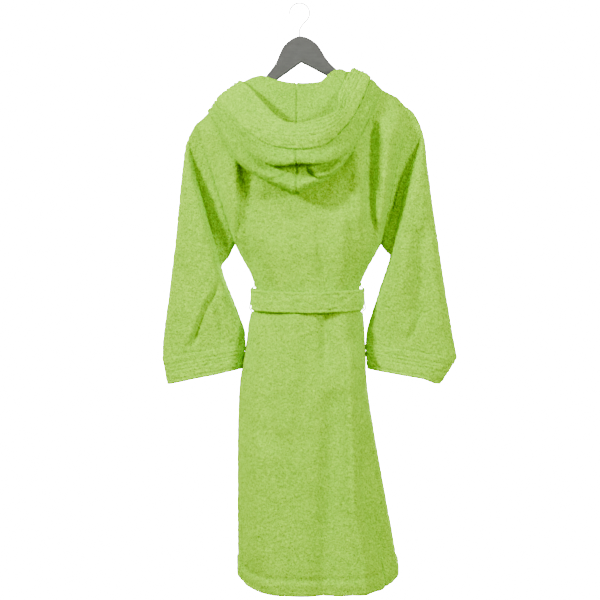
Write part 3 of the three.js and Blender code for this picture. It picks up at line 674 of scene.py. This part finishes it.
# The outlines of the sleeves, seen from behind, as (share of the way down, x, z).
SLEEVE_OUTER = {
    -1: [(0, -247, -290), (0.05, -262, -316), (0.10, -272, -345), (0.28, -283, -447), (0.50, -295, -572),
         (0.69, -308, -678), (0.91, -324, -800), (1.0, -326, -849)],
    1: [(0, 260, -252), (0.05, 278, -272), (0.12, 296, -320), (0.24, 304, -392), (0.45, 322, -522),
        (0.67, 342, -656), (0.88, 362, -778), (1.0, 375, -849)],
}
SLEEVE_INNER = {
    -1: [(0, -157, -577), (0.12, -172, -606), (0.25, -189, -633), (0.50, -161, -712), (0.8, -135, -782),
         (1.0, -132, -813)],
    1: [(0, 197, -577), (0.12, 208, -592), (0.25, 219, -608), (0.5, 193, -690), (0.8, 165, -780),
        (1.0, 161, -813)],
}
# Where each sleeve's cloth rolls up beside the armhole, as (z, x).
NEAR_FOLD = {
    -1: [(-655, -180), (-633, -189), (-591, -199), (-560, -209), (-498, -226), (-426, -246),
         (-363, -260), (-318, -266)],
    1: [(-655, 204), (-608, 219), (-543, 233), (-481, 246), (-402, 266), (-330, 288), (-285, 290)],
}
SLEEVE_FOLDS = {
    -1: [([(-690, -200), (-736, -226), (-820, -256)], -11, 9, -700, -790),
         ([(-700, -214), (-760, -242), (-820, -270)], 7, 12, -710, -790),
         ([(-740, -196), (-800, -180)], -6, 9, -755, -790),
         ([(-420, -268), (-640, -262)], 4, 12, -440, -620)],
    1: [([(-520, 284), (-640, 286), (-780, 276)], -12, 20, -570, -730),
        ([(-520, 318), (-640, 326), (-780, 338)], 7, 16, -570, -760),
        ([(-740, 288), (-800, 262)], -8, 9, -760, -785),
        ([(-560, 250), (-700, 236)], 4, 14, -600, -680)],
}


SLEEVE_FULL, SLEEVE_THINS = 47.0, 10.0
FLOOR_OF_DIP = 7.0
SLEEVE_FLAT = {-1: (0.42, 0.56), 1: (0.44, 0.60)}
LIFT_START, LIFT_LENGTH = 5.0, 90.0
CUFF_LEAN = {-1: (12.0, 10.0), 1: (40.0, 4.0)}


def sleeve_depth(face, v):
    """Half depth of the sleeve, front to back, at its fullest."""
    return mix(ARMHOLE[face], SLEEVE_FULL, ease(v, 0, 0.25)) - SLEEVE_THINS * ease(v, 0.5, 1.0)


def sleeve_grid(side, nu, nv):
    u = np.linspace(0, 1, nu + 1)[:-1, None]
    v = np.linspace(0, 1, nv + 1)[None, :]
    outer = spline([p[0] for p in SLEEVE_OUTER[side]], [p[1:] for p in SLEEVE_OUTER[side]], v[0])
    inner = spline([p[0] for p in SLEEVE_INNER[side]], [p[1:] for p in SLEEVE_INNER[side]], v[0])
    turn = 2 * np.pi * u
    k = (1 + np.cos(turn)) / 2
    x = mix(inner[None, :, 0], outer[None, :, 0], k)
    z = mix(inner[None, :, 1], outer[None, :, 1], k)
    power = mix(1.0, 0.72, ease(v, 0, 0.3))
    across = np.abs(np.sin(turn)) ** power
    back = sleeve_depth("back", v) * across
    front = sleeve_depth("front", v) * across
    # on the back, the cloth dips beside the armhole and rolls up over the near fold
    d = side * (x - spline(*zip(*NEAR_FOLD[side]), z))
    leave = ease(v, 0, 0.06)
    dip = ease(z, -655, -628) * leave
    floor = np.minimum(back, FLOOR_OF_DIP)
    back = mix(back, mix(floor, back, roll(d, 13.0)), dip)
    folds = ridges(x, z, SLEEVE_FOLDS[side], fade=40.0)
    here = stack(x, 0 * x, z)
    folds += (2.2 * noise(here, 110.0, 21) + 1.2 * noise(here, 42.0, 22) + 0.6 * noise(here, 20.0, 23))
    folds = folds * across * leave
    y = np.where(np.sin(turn) < 0, -back - folds, front + 0.8 * folds)
    return stack(x, y, z)


def cuff_grid(side, hem, nv):
    """Rings of the cuff down from the sleeve's last ring, which flare a little."""
    v = np.linspace(0, 1, nv + 1)[None, :, None]
    k = ((hem[:, 0] - hem[:, 0].min()) / np.ptp(hem[:, 0]))[:, None, None]
    k = k if side > 0 else 1 - k
    outer, inner = CUFF_LEAN[side]
    lean = outer * ease(k, 0.55, 1.0) - inner * (1 - ease(k, 0, 0.45))
    down = np.concatenate([-side * lean * v, 0 * v * k, (-CUFF_HEIGHT - 1) * v + 0 * k], axis=2)
    flare = hem[:, None, :] * [0, 1, 0] * 0.05 * v
    return hem[:, None, :] + down + flare


def lift_span(side):
    """Where the cloth starts and ends its turn from the gown to the sleeve, square to the armhole."""
    along_hole = unit(PIT[side] - TIP[side])
    out = np.array([-along_hole[1], along_hole[0]]) * side
    out = out * np.sign(out[0] * side)
    start = Vector((TIP[side][0] + LIFT_START * out[0], 0, TIP[side][1] + LIFT_START * out[1])) * MM
    return start, start + Vector((out[0], 0, out[1])) * LIFT_LENGTH * MM


AROUND, CUFF_ROWS = 190, 34
for side, word in SIDES.items():
    start, end = lift_span(side)
    grid = sleeve_grid(side, AROUND, 165)
    middle = (TIP[side][0] + PIT[side][0]) / 2 + side * 40
    sleeve = cloth(f"{word}_sleeve_cloth", grid, away_from(middle), TERRY, None, [f"{word}_sleeve"],
                   "terry", closed=True, seed=4)
    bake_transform(sleeve)
    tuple(start)
    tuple(end)
    wide, long = SLEEVE_FLAT[side]

    ring = cuff_grid(side, grid[:, -1], CUFF_ROWS)
    v = np.linspace(0, 1, CUFF_ROWS + 1)[None, :] + np.zeros((AROUND, 1))
    rows = stitch_rows(v, (0.02, 0.30, 0.44, 0.58, 0.92), 0.040, 1.7)
    # the stitch rows are faint at the cuff's two folded edges
    rows = rows * (0.25 + 0.75 * np.abs(np.sin(2 * np.pi * np.linspace(0, 1, AROUND + 1)[:-1, None])))
    middle = (ring[..., 0].min() + ring[..., 0].max()) / 2
    cuff = cloth(f"{word}_cuff_cloth", ring, away_from(middle), TRIM, None, [f"{word}_cuff"],
                 "terry_trim", closed=True, relief=rows + 1.2, seed=5)
    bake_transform(cuff)
    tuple(start)
    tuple(end)

# ---------------------------------------------------------------- hood

S_AT = [0, 0.2, 0.4, 0.6, 0.8, 1.0, 1.25]
# Lines that run round the hanging hood from its middle to the shoulder and over it, as (x, y, z).
HOOD = {
    -1: {
        "rim": [(-8, -128, -306), (-35, -124, -302), (-62, -112, -281), (-89, -90, -250),
                (-118, -60, -214), (-141, -25, -192), (-132, 30, -214)],
        "seam": [(-8, -140, -371), (-54, -136, -365), (-91, -124, -350), (-136, -102, -314),
                 (-172, -70, -272), (-200, -30, -241), (-168, 42, -246)],
        "lip": [(-8, -148, -396), (-40, -145, -402), (-74, -130, -395), (-121, -106, -360),
                (-174, -72, -295), (-208, -28, -250), (-176, 44, -256)],
        "pouch": [(-8, -134, -440), (-44, -131, -427), (-83, -118, -408), (-131, -99, -374),
                  (-182, -68, -304), (-213, -24, -255), (-179, 42, -262)],
        "bottom": [(-8, -96, -465), (-47, -94, -447), (-90, -86, -425), (-140, -72, -390),
                   (-189, -48, -308), (-216, -18, -259), (-180, 36, -264)],
        "collar": [(-8, -52, -201), (-32, -52, -198), (-60, -48, -191), (-88, -41, -181),
                   (-112, -28, -183), (-136, -16, -194), (-118, 8, -195)],
    },
    1: {
        "rim": [(-8, -128, -307), (31, -124, -299), (72, -112, -283), (91, -90, -262),
                (94, -60, -225), (127, -25, -162), (124, 30, -188)],
        "seam": [(-8, -140, -371), (29, -136, -368), (62, -124, -355), (101, -102, -317),
                 (137, -70, -268), (170, -30, -189), (160, 42, -220)],
        "lip": [(-8, -148, -396), (30, -145, -398), (67, -130, -391), (108, -106, -363),
                (146, -72, -296), (181, -28, -198), (168, 44, -230)],
        "pouch": [(-8, -134, -440), (30, -131, -424), (69, -118, -405), (109, -98, -371),
                  (151, -68, -301), (188, -24, -204), (171, 42, -236)],
        "bottom": [(-8, -96, -465), (31, -94, -445), (74, -86, -421), (113, -72, -376), (154, -48, -299),
                   (193, -18, -210), (173, 36, -238)],
        "collar": [(-8, -52, -201), (25, -52, -200), (50, -49, -196), (76, -44, -184), (98, -33, -172),
                   (122, -17, -167), (106, 8, -171)],
    },
}


def hood_lines(side, ns):
    """The hood's lines in fine steps, and those between them that the drape adds."""
    s = np.linspace(0, S_AT[-1], ns + 1)
    line = {name: spline(S_AT, points, s) for name, points in HOOD[side].items()}
    fade = (1 - ease(s, 0.25, 0.70))[:, None]
    line["under_lip"] = line["lip"] + fade * [0, 34, 7] + [0, 2, -4]
    on_back = (1 - ease(s, 0.8, 1.1))[:, None]
    line["pouch"] = mix(line["pouch"], line["bottom"], [0.55, 0.18, 0.55])
    rear = line["bottom"] * [0.95, 1, 1] + [0, 0, 12]
    rear[:, 1:2] = mix(rear[:, 1:2] + 8, back_y(rear[:, 0], rear[:, 2])[:, None] - 7, on_back)
    rise = mix(rear, line["collar"], 0.5)
    rise[:, 1:2] = mix(rise[:, 1:2], back_y(rise[:, 0], rise[:, 2])[:, None] - 10, on_back)
    line["rear"], line["rise"] = rear, rise
    return s, line


# The lines of one half in their order from the middle opening round the bag to the neck, with
# each line's share of the way.
HALF_ORDER = [("seam", 0), ("lip", 0.15), ("under_lip", 0.19), ("pouch", 0.36), ("bottom", 0.52),
              ("rear", 0.58), ("rise", 0.80), ("collar", 1.0)]
S_COUNT, HALF_ROWS, BAND_ROWS = 110, 170, 40
HOOD_RUN = 190
BAG_MIDDLE_Y, BAG_RISE = -95.0, 40
FOLD_SHARE = {-1: 0.35, 1: 1.0}
HOOD_START, HOOD_END = Vector((0, -30, -190)) * MM, Vector((0, -80, -260)) * MM


def lofted(lines, shares, count):
    """Points between lines that run side by side."""
    t = np.linspace(0, 1, count + 1)
    return np.stack([spline(shares, [line[i] for line in lines], t) for i in range(len(lines[0]))])


def half_grid(side, s, line):
    """One half of the hood with its waves and its one deep fold."""
    t = np.linspace(0, 1, HALF_ROWS + 1)
    grid = lofted([line[name] for name, _ in HALF_ORDER], [at for _, at in HALF_ORDER], HALF_ROWS)
    wave = 2.4 * noise(grid, 60.0, 31) + 1.4 * noise(grid, 26.0, 32)
    calm = ease(s, 0, 0.08)[:, None] * ease(t, 0, 0.06)[None, :] * (1 - ease(t, 0.5, 0.62))[None, :]
    off_fold = t[None, :] - mix(0.24, 0.44, ease(s, 0.05, 0.42))[:, None]
    folded = (ease(s, 0.08, 0.20) * (1 - ease(s, 0.38, 0.55)))[:, None] * FOLD_SHARE[side]
    wave = wave + folded * (ridge(off_fold, 0.035, 9.0) - ridge(off_fold + 0.05, 0.03, 7.0))
    grid[..., 1] += wave * calm
    return grid


halves = []
band_parts = []
for side, word in SIDES.items():
    s, line = hood_lines(side, S_COUNT)
    grid = half_grid(side, s, line)
    off_seam = s[:, None] * HOOD_RUN
    off_band = np.linspace(0, 1, HALF_ROWS + 1)[None, :]
    seam = groove(off_seam, 2.4, 2.6) + ridge(off_seam - 6, 4, 1.6) + 0 * off_band
    bag = grid[: S_COUNT // 2, 40:70].mean((0, 1))
    # the hood halves take the darker terry, painted shade for the hood's inside
    half = cloth(f"hood_{word}_cloth", grid, away_from_point(bag[0], BAG_MIDDLE_Y, bag[2] + BAG_RISE),
                 HOOD_TERRY_PAINTED_SHADE, None, [f"hood_{word}_half"], "terry", thick=4.5,
                 relief=seam + ridge(off_band, 0.025, 1.5), seed=6, skin=0.9 * seam)
    halves.append(half)
    bulge = mix(line["rim"], line["seam"], 0.5) + [0, -6, 0]
    band_parts.append(lofted([line["rim"], bulge, line["seam"]], [0, 0.5, 1], BAND_ROWS))

band_grid = np.concatenate([band_parts[0][:0:-1], band_parts[1]])
q = np.linspace(0, 1, BAND_ROWS + 1)[None, :] + np.zeros((len(band_grid), 1))
count = np.abs(np.arange(len(band_grid)) - S_COUNT)[:, None]
BAND_STITCHES = ((0.10, 2.6), (0.24, 2.6), (0.38, 2.4), (0.52, 2.0), (0.95, 5.5))
rows = sum(groove(q - at, 0.032, deep) for at, deep in BAND_STITCHES)
rows = rows + groove(count * 1.9, 2.6, 2.2) + 1.0 + 2.0 * np.sin(np.pi * np.clip(q, 0, 1)) ** 0.5
band_grid[..., 1] += 1.2 * noise(band_grid, 40.0, 34)
band = cloth("hood_band_cloth", band_grid, toward(0, -1, 0.2), TRIM, None, ["hood_band"], "terry_trim",
             thick=7.5, relief=rows, pile=0.9, seed=7)
for piece in (*halves, band):
    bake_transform(piece)
    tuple(HOOD_START)
    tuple(HOOD_END)

# ---------------------------------------------------------------- belt


def belt_line(turn):
    """Middle of the belt round the waist, which sags a little at the back."""
    half = WAIST_HALF + BELT_SIDE_GAP + BELT_THICK / 2
    front = np.sin(turn) > 0
    depth = np.where(front, BELT_FRONT, BELT_BACK) + BELT_THICK / 2
    x = WAIST_LEAN + half * np.cos(turn)
    y = depth * np.sign(np.sin(turn)) * np.abs(np.sin(turn)) ** 0.72
    sag = np.where(front, 0.0, 9.0 * np.abs(np.sin(turn)))
    return x, y, BELT_Z - sag


def belt_grid(nu, nv):
    turn = 2 * np.pi * np.linspace(0, 1, nu + 1)[:-1, None]
    v = np.linspace(0, 1, nv + 1)[None, :]
    x, y, z = belt_line(turn)
    here = stack(x, y, z + 0 * v)
    wave = 1.8 * noise(here, 70.0, 41)
    z = z + (0.5 - v) * BELT_WIDTH * (1 + 0.05 * noise(here, 90.0, 42)) + 0.5 * wave
    lean = 2.0 * (v - 0.5) * np.sin(3 * turn)
    return stack(x, y + 0.7 * wave * (np.sin(turn) < 0) + lean * (np.sin(turn) < 0), z), v + 0 * turn


grid, v = belt_grid(300, 22)
rows = stitch_rows(v, (0.12, 0.88), 0.035, 1.5)
belt = cloth("belt_cloth", grid, away_from(WAIST_LEAN), TRIM, "gown", ["belt"], "terry_trim", thick=7.0,
             closed=True, relief=rows, pile=0.9, seed=8)

KNOT_Y = BELT_FRONT + BELT_THICK + KNOT_GAP + KNOT_WRAP + KNOT_HALF[1]


def knot_grid(nu, nv):
    """A lump with turns of the belt wound round it and a dent at each side of the middle turn."""
    a = 2 * np.pi * np.linspace(0, 1, nu + 1)[:-1, None]
    b = np.pi * (np.linspace(0, 1, nv + 1)[None, :] - 0.5)
    p = stack(np.sin(b) + 0 * a, np.cos(b) * np.cos(a), np.cos(b) * np.sin(a))
    wound = 0.09 * np.cos(3 * a + 2.2 * np.sin(b) * 2) + 0.05 * np.cos(7 * np.sin(b) * 2 + a)
    wrap = np.cos(b) * wound
    middle = ridge(np.sin(b), 0.34, 0.10) - ridge(np.abs(np.sin(b)) - 0.44, 0.08, 0.13)
    return p * KNOT_HALF * (1 - 0.03 + wrap + middle)[..., None] + [WAIST_LEAN, KNOT_Y, BELT_Z]


def ball(name, grid, **place):
    nu, nv = grid.shape[:2]
    index = np.arange(nu * nv).reshape(nu, nv)
    nxt = np.roll(index, -1, 0)
    faces = np.stack([index[:, :-1], nxt[:, :-1], nxt[:, 1:], index[:, 1:]], -1).reshape(-1, 4)
    fuzz = unit(grid - grid.mean((0, 1))) * (0.8 * noise(grid, 4.0, 44))[..., None]
    return to_object(name, (grid + fuzz).reshape(-1, 3), faces, **place)


knot = ball("belt_knot_cloth", knot_grid(140, 110), material=TRIM, body="gown", replaces=["belt_knot"],
            slot="terry_trim")

for side, word in SIDES.items():
    u, v = grid_of(16, 150)
    down = v * TAIL_LENGTH
    middle = WAIST_LEAN + side * TAIL_APART - ridge(down, 40, side * 5)
    width = BELT_WIDTH * mix(0.72, 1.0, ease(down, 0, 60))
    x = middle + (u - 0.5) * width + 2.0 * np.sin(down / 70 + side)
    y = KNOT_Y + 10 + 1.6 * np.sin(down / 52 + 2 * side) + 2.0 * (u - 0.5) * np.sin(down / 80 + side)
    y = y + ridge(down, 45, 3.0 * np.cos(2 * np.pi * u))
    z = BELT_Z - TAIL_DROP - down + 2.0 * (u - 0.5) * side
    rows = stitch_rows(u, (0.12, 0.88), 0.04, 1.4) + groove((TAIL_LENGTH - down) - 6, 2.0, 1.3)
    tail = cloth(f"{word}_tail_cloth", stack(x, y, z), toward(0, 1, 0), TRIM, f"{word}_belt_tail",
                 [f"{word}_belt_tail"], "terry_trim", thick=7.0, relief=rows, pile=0.8, seed=9)

    u, v = grid_of(8, 60)
    z = BELT_Z + (0.5 - v) * CARRIER_HEIGHT
    stand = CARRIER_FOOT + CARRIER_STAND * (1 - ease(np.abs(z - BELT_Z), 22, 33))
    grid = stack(edge_x(side, z) + side * stand, (u - 0.5) * CARRIER_WIDTH, z)
    carrier = cloth(f"{word}_carrier_cloth", grid, toward(side, 0, 0), TRIM, "gown",
                    [f"{word}_belt_carrier"], "terry_trim", thick=2.6, pile=0.4, seed=10,
                    relief=groove(u - 0.5, 0.12, 0.5))

# ---------------------------------------------------------------- pockets

for side, word in SIDES.items():
    u, v = grid_of(40, 80)
    z = NAPE_Z - POCKET_DROP - v * POCKET_HEIGHT
    x = edge_x(side, z) - side * (POCKET_INSET + u * POCKET_WIDTH)
    lift = CLOTH + 1.2 + 11 * np.sin(np.pi * u) * (1 - v * v)
    grid = stack(x, front_y(side, x, z), z)
    normal = unit(np.cross(np.gradient(grid, axis=0), np.gradient(grid, axis=1)))
    grid = grid + normal * np.sign(normal[..., 1:2]) * lift[..., None]
    rows = groove(v - 0.14, 0.012, 1.5) + groove(u - 0.05, 0.02, 1.0) + groove(u - 0.95, 0.02, 1.0)
    pocket = cloth(f"{word}_pocket_cloth", grid, toward(0, 1, 0), TRIM, "gown", [f"{word}_pocket"],
                   "terry_trim", relief=rows, seed=11)

# ---------------------------------------------------------------- inside the neck

for name, half, top, height, thick, material, slot in (
        ("neck_tape", 32.0, -4.0, 12.0, 1.4, TAPE, "cotton_tape"),
        ("care_label", 18.0, -18.0, 46.0, 0.8, LABEL, "label_cloth")):
    u, v = grid_of(32, 24)
    x, z = mix(-half, half, u), NAPE_Z + top - v * height
    curl = 1.5 * v ** 2 * np.sin(np.pi * u) if name == "care_label" else 0 * u
    grid = stack(x, back_y(x, z) + CLOTH / 2 + 2.0 + curl, z)
    piece = cloth(f"{name}_cloth", grid, toward(0, 1, 0), material, "gown", [name], slot,
                  thick=thick, pile=0.05)


def tube(name, path, radius, sides, material, **place):
    """A round rod along a smooth path of points."""
    path = np.asarray(path, float)
    ahead = unit(np.gradient(path, axis=0))
    side_way = unit(np.cross(ahead, [0, 1, 0.001]))
    up = np.cross(side_way, ahead)
    turn = np.linspace(0, 2 * np.pi, sides, endpoint=False)
    ring = path[:, None] + radius * (np.cos(turn)[None, :, None] * side_way[:, None]
                                     + np.sin(turn)[None, :, None] * up[:, None])
    tips = path[[0, -1]] + ahead[[0, -1]] * [[-0.4 * radius], [0.4 * radius]]
    points = np.concatenate([ring.reshape(-1, 3), tips])
    obj = to_object(name, points, wrapped_quads(len(path), sides), material, **place)
    work = bmesh.new()
    work.from_mesh(obj.data)
    work.verts.ensure_lookup_table()
    # each end is closed with a fan of triangles from its tip, the one loose point there
    for tip in [v for v in work.verts if not v.link_edges]:
        ends = [e for e in work.edges if e.is_boundary and (e.verts[0].co - tip.co).length < 3 * radius * MM]
        for e in ends:
            face = work.faces.new((e.verts[0], e.verts[1], tip))
            face.smooth = True
    bmesh.ops.recalc_face_normals(work, faces=work.faces)
    work.to_mesh(obj.data)
    work.free()
    return obj


LOOP_RADIUS = 1.9
loop_y = float(back_y(np.array(0.0), np.array(NAPE_Z - 12))) + CLOTH / 2 + 6.5
loop_at = [(-26, 0, -8), (-26, 1, -22), (-14, 2, -40), (14, 2, -40), (26, 1, -22), (26, 0, -8)]
loop_path = spline([0, 0.18, 0.38, 0.62, 0.82, 1], loop_at, np.linspace(0, 1, 60)) + [0, loop_y, NAPE_Z]
tube("hanging_loop_cord", loop_path, LOOP_RADIUS, 14, TAPE, body="gown", replaces=["hanging_loop"],
     slot="cotton_tape")

# ---------------------------------------------------------------- hook and hanger

bend = [(HOOK_RADIUS * math.cos(a), 0, HOOK_CENTRE_Z + HOOK_RADIUS * math.sin(a))
        for a in np.radians(np.linspace(184, -38, 50))]
neck_path = spline([0, 0.5, 1], [bend[-1], (6, 0, -52), (0, 0, -62)], np.linspace(0.08, 1, 16))
shank = [(0, 0, z) for z in np.linspace(-64, SHANK_FOOT_Z, 12)]
tube("hook_wire", [*bend, *neck_path.tolist(), *shank], WIRE_RADIUS, 20, STEEL, body="hook",
     replaces=["hanger_hook"], slot="hook_steel")
for name, material in (("hook_washer", STEEL), ("hanger_body", WOOD)):
    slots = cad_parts[name].data.materials
    slots.clear()
    slots.append(material)

# ---------------------------------------------------------------- stage, light and camera


STUDIO_SEEN, STUDIO_UNSEEN = 40.0, 0.30


def studio_white():
    """White that the camera sees as bright, and that sheds only a little light."""
    m = bpy.data.materials.new("studio_white")
    m.use_nodes = True
    tree = m.node_tree
    tree.nodes.clear()
    out = node(tree, "ShaderNodeOutputMaterial")
    seen = node(tree, "ShaderNodeLightPath")
    power = spread(tree, seen.outputs["Is Camera Ray"], STUDIO_UNSEEN, STUDIO_SEEN)
    glow = node(tree, "ShaderNodeEmission", Color=(1, 1, 1, 1))
    tree.links.new(power, glow.inputs["Strength"])
    tree.links.new(glow.outputs["Emission"], out.inputs["Surface"])
    return m


def backdrop():
    """A pale floor that curves up into a wall all round."""
    turn = np.linspace(0, 2 * np.pi, 97)[:-1]
    # as (radius, z), in metres
    ring = [(0.01, -1.62), (2.0, -1.62), (4.6, -1.62), (5.0, -1.52), (5.2, -1.2), (5.25, 0.5), (5.25, 4.0)]
    points = [[r * math.cos(a), r * math.sin(a), z] for r, z in ring for a in turn]
    mesh = bpy.data.meshes.new("studio")
    mesh.from_pydata(points, [], wrapped_quads(len(ring), len(turn)).tolist(), shade_flat=False)
    mesh.materials.append(studio_white())
    obj = bpy.data.objects.new("studio", mesh)
    bpy.context.scene.collection.objects.link(obj)


backdrop()
world = bpy.data.worlds.new("soft_light")
world.use_nodes = True
world.node_tree.nodes["Background"].inputs["Color"].default_value = (1, 1, 1, 1)
world.node_tree.nodes["Background"].inputs["Strength"].default_value = 0.3
bpy.context.scene.world = world


def softbox(name, place, aim, size, power):
    lamp = bpy.data.lights.new(name, "AREA")
    lamp.shape, lamp.size, lamp.energy = "DISK", size, power
    obj = bpy.data.objects.new(name, lamp)
    obj.location = place
    obj.rotation_euler = (Vector(aim) - Vector(place)).to_track_quat("-Z", "Y").to_euler()
    bpy.context.scene.collection.objects.link(obj)


softbox("key", (-3.1, -2.0, 1.0), (0, 0, -0.75), 0.6, 350)
softbox("fill", (3.2, -2.2, 0.0), (0, 0, -0.8), 0.8, 205)
softbox("top", (0.2, -2.3, 2.3), (0, 0, -0.6), 0.8, 75)
softbox("front_side", (1.8, 3.2, 0.8), (0, 0, -0.7), 1.6, 330)

camera = bpy.data.cameras.new("camera")
camera.lens, camera.sensor_width = 75.0, 36.0
eye = bpy.data.objects.new("camera", camera)
eye.location = (0.001, -3.0, -0.711)
eye.rotation_euler = (math.pi / 2, 0, 0)
bpy.context.scene.collection.objects.link(eye)
bpy.context.scene.camera = eye
